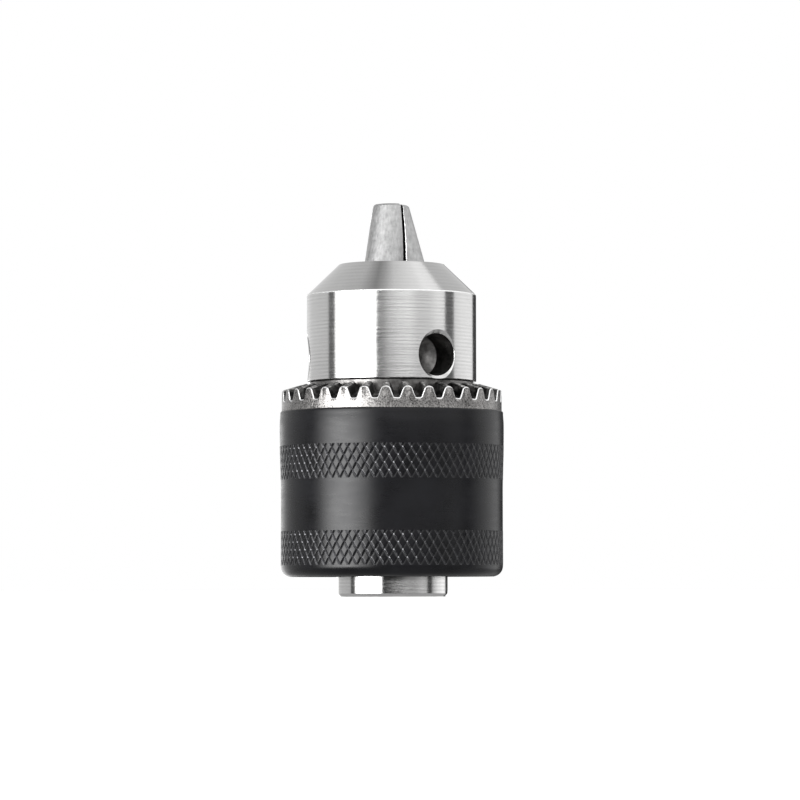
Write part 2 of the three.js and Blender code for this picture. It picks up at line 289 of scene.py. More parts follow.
def combine(target, cutters, operation="DIFFERENCE"):
    """Cuts, joins or intersects target with each cutter, and removes the cutters."""
    for cutter in cutters:
        change = target.modifiers.new("change", "BOOLEAN")
        change.solver = "MANIFOLD"
        change.operation = operation
        change.object = cutter
    bpy.context.view_layer.update()
    done = bpy.data.meshes.new_from_object(target.evaluated_get(bpy.context.evaluated_depsgraph_get()))
    target.modifiers.clear()
    target.data = done
    for cutter in cutters:
        bpy.data.objects.remove(cutter)


SMALL = 1e-6  # a length below this counts as none, as at a pole, where there is no way out from the axis
SAME_SURFACE = 0.02  # a face whose corners lie this near a turned surface belongs to it
SAME_WAY = 0.08  # if it faces across the axis by less than this
SOFT_TURN = math.radians(32)  # stretches of an outline that meet at less than this are smooth together


def unit(vectors):
    return vectors / np.maximum(np.linalg.norm(vectors, axis=1), SMALL)[:, None]


def read(items, key, kind, width=1):
    """An attribute of each of a mesh's items, as an array."""
    values = np.empty(len(items) * width, kind)
    items.foreach_get(key, values)
    return values.reshape(-1, width) if width > 1 else values


class Corners:
    """The faces' corners of a mesh: where they are, which face they belong to and which way it faces."""

    def __init__(self, mesh):
        self.points = read(mesh.vertices, "co", float, 3)[read(mesh.loops, "vertex_index", int)]
        self.begin = read(mesh.polygons, "loop_start", int)
        self.size = read(mesh.polygons, "loop_total", int)
        self.face = np.repeat(np.arange(len(self.begin)), self.size)
        self.facing = read(mesh.polygons, "normal", float, 3)
        self.normals = read(mesh.corner_normals, "vector", float, 3)

    def middles(self, values):
        """The mean over each face of a value at each corner."""
        return np.add.reduceat(values, self.begin) / self.size[:, None]


class Turning:
    """A turned surface: a closed outline of (radius, z) points, and where its axis lies."""

    def __init__(self, outline, place=Matrix.Identity(4)):
        self.start = np.array(outline)
        self.end = np.roll(self.start, -1, axis=0)
        self.place = np.array(place)
        along = self.end - self.start
        self.long = np.maximum(np.linalg.norm(along, axis=1), SMALL)
        # Each normal is as long as its stretch, so a rounded corner hardly bends the long side next to it.
        normal = np.stack([along[:, 1], -along[:, 0]], axis=1)
        before, after = np.roll(normal, 1, axis=0), np.roll(normal, -1, axis=0)
        soft = (unit(before) * unit(normal)).sum(1) > math.cos(SOFT_TURN)
        soft_end = np.roll(soft, -1)
        self.at_start = unit(np.where(soft[:, None], before + normal, normal))
        self.at_end = unit(np.where(soft_end[:, None], after + normal, normal))

    def nearest(self, rz):
        """For each (radius, z), the number of the nearest stretch of the outline."""
        best, found = np.full(len(rz), np.inf), np.zeros(len(rz), int)
        for k in range(len(self.start)):
            gap = self.gap(rz, np.full(len(rz), k))[0]
            closer = gap < best
            best[closer], found[closer] = gap[closer], k
        return found

    def gap(self, rz, stretch):
        """Distance from each (radius, z) to its stretch, and how far along the stretch it lies."""
        start, end = self.start[stretch], self.end[stretch]
        along = (end - start) / self.long[stretch][:, None]
        t = np.clip(((rz - start) * along).sum(1) / self.long[stretch], 0, 1)
        foot = start + (end - start) * t[:, None]
        return np.linalg.norm(rz - foot, axis=1), t

    def normals(self, corners):
        """The surface's normal at each corner, and for each face whether it lies on the surface."""
        turn = self.place[:3, :3]
        at = (corners.points - self.place[:3, 3]) @ turn
        facing = corners.facing @ turn
        rz = np.stack([np.linalg.norm(at[:, :2], axis=1), at[:, 2]], axis=1)
        stretch = self.nearest(corners.middles(rz))
        gap, t = self.gap(rz, stretch[corners.face])
        centre = unit(corners.middles(at)[:, :2])
        across = np.abs(facing[:, 0] * centre[:, 1] - facing[:, 1] * centre[:, 0])
        fits = (np.maximum.reduceat(gap, corners.begin) < SAME_SURFACE) & (across < SAME_WAY)
        start, end = self.at_start[stretch[corners.face]], self.at_end[stretch[corners.face]]
        lean = unit(start * (1 - t)[:, None] + end * t[:, None])
        exact = np.concatenate([unit(at[:, :2]) * lean[:, :1], lean[:, 1:]], axis=1)
        inward = (exact * facing[corners.face]).sum(1) < 0
        exact[inward] *= -1
        return exact @ turn.T, fits


def shade(made, turnings):
    """Gives the faces that lie on a turned surface its exact normals. The others are smooth up to a crease.
    Returns, for each face, the number of its turned surface, or -1."""
    mesh = made.data
    mesh.shade_smooth()
    mesh.set_sharp_from_angle(angle=math.radians(30))
    corners = Corners(mesh)
    owner = np.full(len(corners.begin), -1)
    for number, turning in enumerate(turnings):
        exact, fits = turning.normals(corners)
        ours = fits & (owner < 0)
        mine = ours[corners.face]
        corners.normals[mine] = exact[mine]
        owner[ours] = number
    mesh.normals_split_custom_set(corners.normals)
    return owner


def finish_piece(made, finishes, body, *nodes):
    """Brings a piece built in millimetres to metres, gives it its materials and joins it to the frame."""
    mesh = made.data
    mesh.transform(Matrix.Scale(MM, 4))
    numbers = np.empty(len(mesh.polygons), np.int32)
    mesh.polygons.foreach_get("material_index", numbers)
    mesh.materials.clear()
    for material in finishes:
        mesh.materials.append(material)
    mesh.polygons.foreach_set("material_index", numbers)
    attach(made, body)
    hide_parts(*nodes)


def about_z(angle):
    return Matrix.Rotation(angle, 4, "Z")


# ---- Materials ----


class Nodes:
    """Short ways to add nodes to a tree."""

    def __init__(self, tree):
        self.tree = tree

    def add(self, kind, inputs=(), **settings):
        node = self.tree.nodes.new(kind)
        for key, value in settings.items():
            setattr(node, key, value)
        for key, value in dict(inputs).items():
            self.set(node, key, value)
        return node

    def set(self, node, key, value):
        if isinstance(value, bpy.types.NodeSocket):
            self.tree.links.new(value, node.inputs[key])
        else:
            node.inputs[key].default_value = value

    def math(self, operation, a, b=0.0):
        return self.add("ShaderNodeMath", {0: a, 1: b}, operation=operation).outputs[0]

    def axes(self, vector):
        return self.add("ShaderNodeSeparateXYZ", {"Vector": vector}).outputs

    def ramp(self, value, stops):
        """Maps a value through (position, grey or colour) stops."""
        node = self.add("ShaderNodeValToRGB", {"Fac": value})
        elements = node.color_ramp.elements
        while len(elements) < len(stops):
            elements.new(0.5)
        for element, (position, colour) in zip(elements, stops):
            element.position = position
            grey = isinstance(colour, (int, float))
            element.color = (colour, colour, colour, 1) if grey else (*colour, 1)
        return node.outputs["Color"]

    def between(self, value, low, high, start=0.0, end=1.0):
        """Maps start..end of a value to low..high."""
        inputs = {"Value": value, "From Min": start, "From Max": end, "To Min": low, "To Max": high}
        return self.add("ShaderNodeMapRange", inputs).outputs["Result"]

    def mix(self, amount, a, b):
        return self.add("ShaderNodeMix", {0: amount, 6: a, 7: b}, data_type="RGBA").outputs[2]


class Finish(Nodes):
    """A material and short ways to make its pattern."""

    def __init__(self, name):
        self.material = bpy.data.materials.new(name)
        self.material.use_nodes = True
        super().__init__(self.material.node_tree)
        self.shader = self.tree.nodes["Principled BSDF"]
        self.place = self.add("ShaderNodeTexCoord").outputs["Object"]

    def shade(self, **inputs):
        for key, value in inputs.items():
            self.set(self.shader, key.replace("_", " "), value)

    def noise(self, vector, scale, detail=2.0, roughness=0.5):
        """Noise spread out so that most of it lies evenly between 0 and 1."""
        inputs = {"Vector": vector, "Scale": scale, "Detail": detail, "Roughness": roughness}
        return self.between(self.add("ShaderNodeTexNoise", inputs).outputs["Fac"], 0.0, 1.0, 0.3, 0.7)

    def sum(self, *values):
        total = values[0]
        for value in values[1:]:
            total = self.math("ADD", total, value)
        return total

    def grey(self, value, tint=(1.0, 1.0, 1.0)):
        return self.ramp(value, [(0.0, 0.0), (1.0, tint)])

    def height(self, *bumps):
        """Chains (height, distance) bumps into the shader's normal. Distances are in metres."""
        normal = None
        for height, distance in bumps:
            node = self.add("ShaderNodeBump", {"Height": height, "Distance": distance})
            if normal:
                self.set(node, "Normal", normal)
            normal = node.outputs["Normal"]
        self.set(self.shader, "Normal", normal)

    def stretched(self, across, along):
        """The place on the piece, with its spacing multiplied across the spindle axis and along it."""
        inputs = {"Vector": self.place, "Scale": (across, across, along)}
        return self.add("ShaderNodeMapping", inputs).outputs["Vector"]

    def lines(self, scale, detail=3.0, reach=0.03):
        """Noise that draws lines round a turned piece. The smaller the reach, the longer they are."""
        slant = -0.7  # so that a face across the axis has lines too
        x, y, z = self.axes(self.place)
        radius = self.math("SQRT", self.sum(self.math("MULTIPLY", x, x), self.math("MULTIPLY", y, y)))
        line = self.sum(z, self.math("MULTIPLY", radius, slant))
        at = {"X": self.math("MULTIPLY", x, reach), "Y": self.math("MULTIPLY", y, reach), "Z": line}
        return self.noise(self.add("ShaderNodeCombineXYZ", at).outputs[0], scale, detail, 0.6)

    def feed_marks(self, pitch):
        """The evenly spaced lines that a cutting tool leaves, faint and strong by turns."""
        strength = self.noise(self.stretched(0.35, 1.0), 260.0, 3.0, 0.6)
        height = self.axes(self.place)["Z"]
        wave = self.math("SINE", self.math("MULTIPLY", height, TURN / pitch))
        return self.between(self.math("MULTIPLY", wave, strength), 0.0, 1.0, -1.0, 1.0)


def turned_steel(name, feed, polish):
    """Bright steel with tool marks round the axis and faint stains. The feed says how strong the marks are,
    and the polish how much of the roughness is gone."""
    finish = Finish(name)
    fine = finish.lines(3600.0, 3.0, reach=0.06)
    coarse = finish.lines(1100.0, 2.0)
    grain = finish.noise(finish.place, 4200.0, 2.0, 0.7)
    cloud = finish.noise(finish.place, 110.0, 3.0)
    marks = finish.feed_marks(FEED_PITCH * MM)
    tone = finish.sum(
        finish.between(fine, 0.61 - 0.035 * feed, 0.61 + 0.035 * feed),
        finish.between(marks, -0.07 * feed, 0.07 * feed),
        finish.between(cloud, -0.03, 0.03),
        finish.between(grain, -0.02, 0.02),
    )
    rough = finish.sum(
        finish.between(fine, 0.1, 0.22),
        finish.between(grain, -0.02, 0.05),
        finish.between(cloud, -0.02, 0.03),
    )
    rough = finish.math("MULTIPLY", rough, 1.0 - polish)
    finish.shade(Base_Color=finish.grey(tone, (1.0, 0.996, 0.99)), Metallic=1.0, Roughness=rough)
    tangent = finish.add("ShaderNodeTangent", direction_type="RADIAL", axis="Z").outputs[0]
    finish.shade(Anisotropic=0.4, Anisotropic_Rotation=0.25, Tangent=tangent)
    finish.height((coarse, 0.000004 * feed), (fine, 0.000003 * feed), (grain, 0.000001))
    return finish.material


def shaded_recess_steel():
    """Steel inside holes and recesses: coarse, with an oily film, its colour kept dark as painted shade."""
    finish = Finish("shaded_recess_steel")
    swirl = finish.noise(finish.place, 900.0, 4.0, 0.65)
    film = finish.noise(finish.place, 420.0, 4.0, 0.6)
    # painted shade: the steel is darkened in the holes, the bores, the neck under the shoulder and the jaws'
    # sides and slits
    colour = finish.ramp(film, [(0.1, (0.06, 0.058, 0.056)), (0.9, (0.26, 0.255, 0.25))])
    finish.shade(Base_Color=colour, Metallic=1.0, Roughness=finish.between(swirl, 0.25, 0.5))
    finish.height((swirl, 0.00001))
    return finish.material


def ground_steel():
    """Hardened steel with the short mottled scratches of grinding."""
    finish = Finish("ground_steel")
    scratch = finish.noise(finish.stretched(1.0, 0.3), 2600.0, 4.0, 0.6)
    mottle = finish.noise(finish.place, 900.0, 3.0, 0.6)
    tone = finish.sum(finish.between(scratch, 0.34, 0.52), finish.between(mottle, -0.06, 0.06))
    finish.shade(Base_Color=finish.grey(tone), Metallic=1.0, Roughness=finish.between(scratch, 0.4, 0.58))
    finish.height((scratch, 0.000008), (mottle, 0.00001))
    return finish.material


def black_oxide():
    """Black oxide on steel: a satin skin, faintly mottled, with turning marks that just show through."""
    finish = Finish("black_oxide")
    marks = finish.lines(1500.0, 3.0, reach=0.1)
    grain = finish.noise(finish.place, 5200.0, 2.0, 0.6)
    cloud = finish.noise(finish.place, 160.0, 4.0, 0.6)
    colour = finish.ramp(cloud, [(0.0, (0.0015, 0.0015, 0.0022)), (1.0, (0.0045, 0.0046, 0.0062))])
    rough = finish.sum(finish.between(cloud, 0.25, 0.33), finish.between(marks, -0.03, 0.03))
    finish.shade(Base_Color=colour, Metallic=0.0, Roughness=rough, IOR=1.33)
    finish.height((marks, 0.000003), (grain, 0.0000025))
    return finish.material


def grained_steel():
    """The crown's outer band: bright steel left grainy by etching."""
    finish = Finish("grained_steel")
    grain = finish.noise(finish.place, 3600.0, 3.0, 0.7)
    blotch = finish.noise(finish.place, 420.0, 3.0, 0.6)
    tone = finish.sum(finish.between(grain, 0.0, 0.42), finish.between(blotch, -0.04, 0.05))
    rough = finish.between(grain, 0.24, 0.4)
    finish.shade(Base_Color=finish.grey(tone, (1.0, 0.975, 0.955)), Metallic=1.0, Roughness=rough)
    finish.height((grain, 0.00001), (blotch, 0.00001))
    return finish.material


def worn_edge_and_highlight():
    """Sharp edges, partly worn bright and partly a painted highlight: on the teeth, on the nose's shoulder
    and along the slits between the jaws.
    """
    finish = Finish("worn_edge_and_highlight")
    scuff = finish.noise(finish.place, 1800.0, 3.0, 0.6)
    # painted highlight: the edges' steel is near white
    grey = finish.grey(finish.between(scuff, 0.8, 0.98))
    finish.shade(Base_Color=grey, Metallic=1.0, Roughness=finish.between(scuff, 0.35, 0.55))
    finish.height((scuff, 0.000004))
    return finish.material


def shaded_tooth_steel():
    """Flanks and floors of the teeth: milled steel with oil and dust, kept nearly black as painted shade in
    the gaps.
    """
    finish = Finish("shaded_tooth_steel")
    dirt_and_shade = finish.noise(finish.place, 700.0, 4.0, 0.65)
    grain = finish.noise(finish.place, 2600.0, 3.0, 0.6)
    # painted shade: the ramp keeps the gaps between the teeth and the lip's bore nearly black
    colour = finish.ramp(dirt_and_shade, [(0.35, (0.01, 0.01, 0.01)), (0.98, (0.11, 0.108, 0.105))])
    finish.shade(Base_Color=colour, Metallic=1.0, Roughness=finish.between(grain, 0.3, 0.5))
    finish.height((grain, 0.00001))
    return finish.material


def scuffed_steel():
    """Tops of the teeth: black grime, scuffed through to bright metal in ragged patches."""
    finish = Finish("scuffed_steel")
    scuff = finish.noise(finish.place, 950.0, 5.0, 0.7)
    grain = finish.noise(finish.place, 3000.0, 3.0, 0.6)
    grime, steel, bright = (0.03, 0.03, 0.03), (0.2, 0.198, 0.195), (0.75, 0.74, 0.73)
    colour = finish.ramp(scuff, [(0.25, grime), (0.55, steel), (0.85, bright)])
    finish.shade(Base_Color=colour, Metallic=1.0, Roughness=finish.between(grain, 0.25, 0.5))
    finish.height((scuff, 0.00005), (grain, 0.00001))
    return finish.material


def rubbed_oxide_glint():
    """Black oxide along the knurl's falling edges, rubbed thin so that the steel glints through: partly
    wear, and partly a painted glint, as the rising edges don't get it.
    """
    finish = Finish("rubbed_oxide_glint")
    rub_and_glint = finish.noise(finish.place, 1400.0, 3.0, 0.6)
    colour = finish.ramp(rub_and_glint, [(0.2, (0.05, 0.05, 0.053)), (0.95, (0.1, 0.1, 0.105))])
    finish.shade(Base_Color=colour, Metallic=1.0, Roughness=finish.between(rub_and_glint, 0.22, 0.34))
    finish.height((rub_and_glint, 0.000003))
    return finish.material


def nut_steel():
    """Machined and oiled, grey."""
    finish = Finish("nut_steel")
    marks = finish.lines(1800.0, 3.0)
    film = finish.noise(finish.place, 260.0, 3.0)
    grey = finish.grey(finish.between(film, 0.26, 0.42))
    finish.shade(Base_Color=grey, Metallic=1.0, Roughness=finish.between(marks, 0.28, 0.48))
    finish.height((marks, 0.000004))
    return finish.material


# ---- Body ----

# The last finish is darkened steel: painted shade in the holes, the bores and the neck's recess.
TURNED, NOSE, SHOULDER, PAINTED_SHADE = range(4)


def body_outline():
    """From the collar's rear edge up the outside, over the nose and down the bores."""
    flange_lead = 0.5
    collar_chamfer = 0.55
    nose_mouth = 0.45
    spindle_mouth = 1.0
    groove_rear, groove_front = NUT_REAR_Z - NUT_GAP, NUT_FRONT_Z + NUT_GAP
    shank_cone = (SHANK_BORE_R - SCREW_HOLE_R) * DRILL_POINT_SLOPE
    spindle_cone = (SPINDLE_HOLE_R - SCREW_HOLE_R) * DRILL_POINT_SLOPE
    corners = [
        (COLLAR_R - collar_chamfer, 0, 0.08),
        (COLLAR_R, 0.6, 0.12),
        (COLLAR_R, COLLAR_FRONT_Z, 0.2),
        (FLANGE_R - flange_lead, COLLAR_FRONT_Z, 0),
        (FLANGE_R, COLLAR_FRONT_Z + flange_lead, 0),
        (FLANGE_R, FLANGE_FRONT_Z, 0),
        (BARREL_R, BARREL_REAR_Z, 0),
        (BARREL_R, groove_rear, 0),
        (GROOVE_R, groove_rear, 0.3),
        (GROOVE_R, groove_front, 0.3),
        (NECK_R, groove_front, 0),
        (NECK_R, BODY_SHOULDER_Z, 0.2),
        (BODY_R, BODY_SHOULDER_Z, 0.25),
        (BODY_R, NOSE_SHOULDER_Z, 0.3),
        (NOSE_FLAT_R, NOSE_Z, 0.2),
        (SHANK_BORE_R + nose_mouth, NOSE_Z, 0.12),
        (SHANK_BORE_R, NOSE_Z - nose_mouth, 0.12),
        (SHANK_BORE_R, SHANK_BORE_FLOOR_Z, 0),
        (SCREW_HOLE_R, SHANK_BORE_FLOOR_Z - shank_cone, 0),
        (SCREW_HOLE_R, SPINDLE_HOLE_FLOOR_Z + spindle_cone, 0),
        (SPINDLE_HOLE_R, SPINDLE_HOLE_FLOOR_Z, 0),
        (SPINDLE_HOLE_R, spindle_mouth, 0),
        (SPINDLE_HOLE_R + spindle_mouth, 0, 0.08),
    ]
    return rounded(corners)


def key_hole_outline():
    slope = 1.25  # how fast the countersink widens
    past = 3.0
    return rounded(
        [
            (0, KEY_HOLE_FLOOR_R - KEY_HOLE_R * DRILL_POINT_SLOPE, 0),
            (KEY_HOLE_R, KEY_HOLE_FLOOR_R, 0.25),
            (KEY_HOLE_R, BODY_R - KEY_HOLE_RIM / slope, 0.12),
            (KEY_HOLE_R + KEY_HOLE_RIM + past * slope, BODY_R + past, 0),
            (0, BODY_R + past, 0),
        ]
    )


def jaw_line(azimuth, z=NOSE_Z):
    """Stands a solid that was built about Z on a jaw's line, its foot at height z."""
    foot = Matrix.Translation((jaw_axis_r(z), 0, z))
    return about_z(azimuth) @ foot @ Matrix.Rotation(-JAW_ANGLE, 4, "Y")


def jaw_bore_outline():
    """Along the jaw's line from the nose: down past the open jaw's tail, and up past the nose."""
    drop = JAW_OUTWARD_TRAVEL / JAW_SLOPE
    low = (JAW_TAIL_Z - drop - NOSE_Z - 0.6) / math.cos(JAW_ANGLE) - 1
    high = 9
    r = JAW_R + JAW_GAP
    return [(0, low), (r, low), (r, high), (0, high)]


def spindle_thread():
    """The helical groove of the spindle thread, as a solid to cut with."""
    turns = 14
    steps = 48  # in a turn
    inside = SPINDLE_HOLE_R - 0.3
    half_mouth = SPINDLE_PITCH * 0.46
    half_floor = SPINDLE_PITCH * 0.08
    section = [
        (inside, -half_mouth),
        (SPINDLE_HOLE_R, -half_mouth),
        (SPINDLE_THREAD_R, -half_floor),
        (SPINDLE_THREAD_R, half_floor),
        (SPINDLE_HOLE_R, half_mouth),
        (inside, half_mouth),
    ]
    skin = Skin()
    rings = []
    for k in range(turns * steps + 1):
        rise = SPINDLE_PITCH * (k / steps - 1)
        rings.append(skin.ring([polar(r, TURN * k / steps, z + rise) for r, z in section]))
    for low, high in zip(rings, rings[1:]):
        skin.band(high, low, 0)
    skin.face(rings[0], 0)
    skin.face(rings[-1][::-1], 0)
    return skin.object("cutter")


def body_finish(centre, surface):
    """The finish of a face of the body, by where its centre lies and by the number of its turned surface.
    The key holes' surfaces come first, then those of the jaw bores, then the body's own."""
    r = math.hypot(centre.x, centre.y)
    if surface < JAW_COUNT:
        in_countersink = surface >= 0 and r > BODY_R - 0.9
        return TURNED if in_countersink else PAINTED_SHADE
    in_bore = r < SHANK_BORE_R + 0.3 and 1.2 < centre.z < NOSE_Z - 0.5
    # The neck under the shoulder is a recess: it gets the darkened steel as painted shade, as the bores do.
    in_neck = NUT_REAR_Z < centre.z < BODY_SHOULDER_Z - 0.05
    if surface < 2 * JAW_COUNT or in_bore or in_neck:
        return PAINTED_SHADE
    # The nose's shoulder gets the near-white edge steel: a painted highlight.
    if abs(centre.z - NOSE_SHOULDER_Z) < 0.14:
        return SHOULDER
    return NOSE if centre.z > NOSE_SHOULDER_Z else TURNED


def chuck_body():
    outline = body_outline()
    made = spun(outline, 256, name="bright_body")
    azimuths = [TURN * k / JAW_COUNT for k in range(JAW_COUNT)]
    along_x = Matrix.Translation((0, 0, KEY_HOLE_Z)) @ Matrix.Rotation(math.pi / 2, 4, "Y")
    holes = [(key_hole_outline(), about_z(azimuth + TURN / JAW_COUNT / 2) @ along_x) for azimuth in azimuths]
    holes += [(jaw_bore_outline(), jaw_line(azimuth)) for azimuth in azimuths]
    combine(made, [spun(profile, 96, place) for profile, place in holes])
    combine(made, [spindle_thread()])
    turnings = [Turning(profile, place) for profile, place in holes]
    owner = shade(made, [*turnings, Turning(outline)])
    for polygon, surface in zip(made.data.polygons, owner):
        polygon.material_index = body_finish(polygon.center, surface)
    barrel, nose = turned_steel("turned_steel", 0.75, 0.2), turned_steel("nose_steel", 0.3, 0.65)
    finish_piece(made, [barrel, nose, WORN_AND_HIGHLIGHT, SHADED_RECESS], "body", "chuck_body")


# ---- Sleeve ----

BLACK, GRAINED, EDGE, TOOTH, SCUFFED, RUBBED_GLINT = range(6)
AROUND = 360  # points round the sleeve's plain surfaces


def sleeve_radius(z):
    """The sleeve is nearly straight, with a slight belly under the crown."""
    straight_r = SLEEVE_TOP_R - 0.235
    belly = 0.225 * smoothstep(20, 31.5, z)
    return straight_r + belly - 0.13 * smoothstep(32.8, 35.2, z)


def groove_depth(steps):
    """Depth of a knurl groove, steps away from its bottom line."""
    return KNURL_DEPTH * {0: 1.0, 1: 0.3, 2: 0.06}.get(steps, 0)


def knurl(skin, low_z, high_z):
    """A knurled band. Its grid is so laid that both families of grooves run along the diagonals. The edges
    of the falling grooves are rubbed bright, partly as wear and partly as a painted glint, as the rising
    ones are left plain. Returns its first and last rings."""
    around = KNURL_LINES * KNURL_STEPS
    rings = []
    for row in range(KNURL_ROWS + 1):
        z = low_z + (high_z - low_z) * row / KNURL_ROWS
        points = []
        for k in range(around):
            off = [min((k + s * row) % KNURL_STEPS, -(k + s * row) % KNURL_STEPS) for s in (1, -1)]
            r = sleeve_radius(z) + KNURL_CREST - max(groove_depth(n) for n in off)
            points.append(polar(r, TURN * k / around, z))
        rings.append(skin.ring(points))
    for row, (low, high) in enumerate(zip(rings, rings[1:])):
        for k in range(around):
            n = (k + 1) % around
            steps = ((k - row) % KNURL_STEPS, (k + row + 1) % KNURL_STEPS)
            to_rising, to_falling = (min(step, KNURL_STEPS - step) for step in steps)
            # painted glint: only the falling grooves' edges get the brighter rubbed oxide
            finish = RUBBED_GLINT if to_falling <= 1 else BLACK
            if to_rising < to_falling:
                skin.face((low[k], low[n], high[n]), finish)
                skin.face((low[k], high[n], high[k]), finish)
            else:
                skin.face((low[k], low[n], high[k]), finish)
                skin.face((low[n], high[n], high[k]), finish)
    return rings[0], rings[-1]


def tooth_outline():
    """One pitch of the crown as (distance round the outer radius, height, outward normal) points."""
    pitch = TURN * CROWN_R / TOOTH_COUNT
    half = rounded(
        [
            (-GAP_HALF_ROOT, TOOTH_ROOT_Z, 0),
            (GAP_HALF_ROOT, TOOTH_ROOT_Z, 0.4),
            (GAP_HALF_TIP, TOOTH_TIP_Z, TOOTH_TIP_ROUNDING),
            (pitch - GAP_HALF_TIP, TOOTH_TIP_Z, 0),
        ],
        steps=7,
    )[1:-1]
    rising = [(0.0, TOOTH_ROOT_Z), *half]
    falling = [(pitch - s, z) for s, z in reversed(rising)][:-1]
    points = [*rising, (pitch / 2, TOOTH_TIP_Z), *falling]
    outline = []
    for k, (s, z) in enumerate(points):
        last = points[k - 1] if k else (points[-1][0] - pitch, points[-1][1])
        after = points[k + 1] if k + 1 < len(points) else (points[0][0] + pitch, points[0][1])
        along = Vector((after[0] - last[0], after[1] - last[1])).normalized()
        outline.append((s, z, Vector((-along.y, along.x))))
    return outline


def bevel_height(z, r):
    """Height at radius r of a tooth that is z high at the crown's edge. The teeth taper towards the point
    where the key's axis meets the spindle's."""
    return KEY_HOLE_Z - (KEY_HOLE_Z - z) * r / CROWN_R


def crown(skin):
    """The teeth, from the foot of the outer band over the top to the lip's bore. Returns both end rings."""
    outline = tooth_outline()
    chamfer = 0.14
    inner_chamfer = 0.5
    tip_from_z = TOOTH_TIP_Z - 0.25
    foot_z = TOOTH_ROOT_Z - 0.6
    edge_r = CROWN_R - chamfer
    walls, edges, tops = [], [], {r: [] for r in TOOTH_RING_RADII}
    on_tip = []
    for tooth in range(TOOTH_COUNT):
        start = FIRST_GAP_AZIMUTH + TURN * tooth / TOOTH_COUNT
        for s, z, normal in outline:
            azimuth = start + s / CROWN_R
            sunk = Vector((s, z)) - normal * chamfer
            walls.append(polar(CROWN_R, start + sunk.x / CROWN_R, sunk.y))
            edges.append(polar(edge_r, azimuth, bevel_height(z, edge_r)))
            for r, ring in tops.items():
                drop = inner_chamfer if r == LIP_BORE_R else 0
                ring.append(polar(r, azimuth, bevel_height(z, r) - drop))
            on_tip.append(z > tip_from_z)
    feet = [(x, y, foot_z) for x, y, _ in walls]
    foot, wall, edge = skin.ring(feet), skin.ring(walls), skin.ring(edges)
    rings = [skin.ring(points) for points in tops.values()]
    skin.band(foot, wall, GRAINED)
    # The edge round the crown gets the near-white edge steel: partly wear, partly a painted highlight.
    skin.band(wall, edge, EDGE)
    # The flanks and floors between the teeth get the darkened steel: painted shade.
    for low, high in zip([edge, *rings], rings):
        first = len(skin.faces)
        skin.band(low, high, TOOTH)
        for k, scuffed in enumerate(on_tip):
            if scuffed:
                skin.finishes[first + k] = SCUFFED
    return foot, rings[-1]


def wall(skin, last, points, finish):
    """Carries a wall on from its last ring through (radius, z) points. Returns the new last ring."""
    for r, z in points:
        ring = skin.circle(r, z, AROUND)
        skin.band(last, ring, finish)
        last = ring
    return last


def sleeve_corner(skin):
    """The rounded rear corner. Returns its first and last rings."""
    corners = [
        (SLEEVE_REAR_BORE_R, 12.0, 0),
        (SLEEVE_REAR_BORE_R, SLEEVE_REAR_Z, 0.25),
        (sleeve_radius(0), SLEEVE_REAR_Z, 2.0),
        (sleeve_radius(0), 20.0, 0),
    ]
    outline = rounded(corners, steps=8)[1:-1]
    first = skin.circle(*outline[0], AROUND)
    return first, wall(skin, first, outline[1:], BLACK)


def banded_wall(skin, last):
    """The wall up to the end of the upper knurled band. Returns the last ring."""
    spacing = 0.8
    for low_z, high_z in KNURL_BANDS:
        plain_from = skin.points[last[0]][2]
        count = max(2, round((low_z - plain_from) / spacing))
        heights = np.linspace(plain_from, low_z, count)[1:]
        last = wall(skin, last, [(sleeve_radius(z), z) for z in heights], BLACK)
        low, high = knurl(skin, low_z, high_z)
        skin.zip(last, low, BLACK)
        last = skin.circle(sleeve_radius(high_z), high_z, AROUND)
        skin.zip(high, last, BLACK)
    return last


def step_to_crown(skin, last):
    """The plain wall above the knurl and the step in to the crown. Returns the last ring."""
    step = CROWN_BASE_Z
    corners = [
        (sleeve_radius(step - 1), step - 1.2, 0),
        (sleeve_radius(step), step, 0.3),
        (CROWN_R, step + 0.03, 0.12),
        (CROWN_R, step + 1, 0),
    ]
    heights = np.linspace(KNURL_BANDS[-1][1], step - 0.8, 10)[1:]
    for r, z in [*((sleeve_radius(z), z) for z in heights), *rounded(corners)[1:-1]]:
        last = wall(skin, last, [(r, z)], BLACK if z < step - 0.02 else GRAINED)
    return last


def sleeve_bore(skin, lip, first):
    """From the bore of the lip, over the nut's seat, down to the first ring of the rear corner."""
    corners = [
        (LIP_BORE_R, 38.0, 0),
        (LIP_BORE_R, LIP_REAR_Z, 0.15),
        (NUT_SEAT_R, LIP_REAR_Z, 0.2),
        (NUT_SEAT_R, RELIEF_Z[1] + RELIEF_R - NUT_SEAT_R, 0),
        (RELIEF_R, RELIEF_Z[1], 0),
        (RELIEF_R, RELIEF_Z[0], 0),
        (SLEEVE_REAR_BORE_R, RELIEF_Z[0] - RELIEF_R + SLEEVE_REAR_BORE_R, 0),
    ]
    outline = rounded(corners)
    last = skin.circle(*outline[0], AROUND)
    # The lip's bore gets the teeth's darkened steel: painted shade.
    skin.zip(lip, last, TOOTH)
    last = wall(skin, last, outline[1:], BLACK)
    skin.band(last, first, BLACK)


def knurled_sleeve():
    skin = Skin()
    first, last = sleeve_corner(skin)
    last = banded_wall(skin, last)
    last = step_to_crown(skin, last)
    foot, lip = crown(skin)
    skin.zip(last, foot, GRAINED)
    sleeve_bore(skin, lip, first)
    made = skin.object("sleeve_with_teeth")
    made.data.shade_smooth()
    made.data.set_sharp_from_angle(angle=math.radians(38))
    finishes = [black_oxide(), grained_steel(), WORN_AND_HIGHLIGHT, shaded_tooth_steel(), scuffed_steel(), rubbed_oxide_glint()]
    finish_piece(made, finishes, "sleeve", "knurled_sleeve")


# ---- Jaws ----

JAW_BACK, JAW_SIDE, JAW_EDGE = range(3)


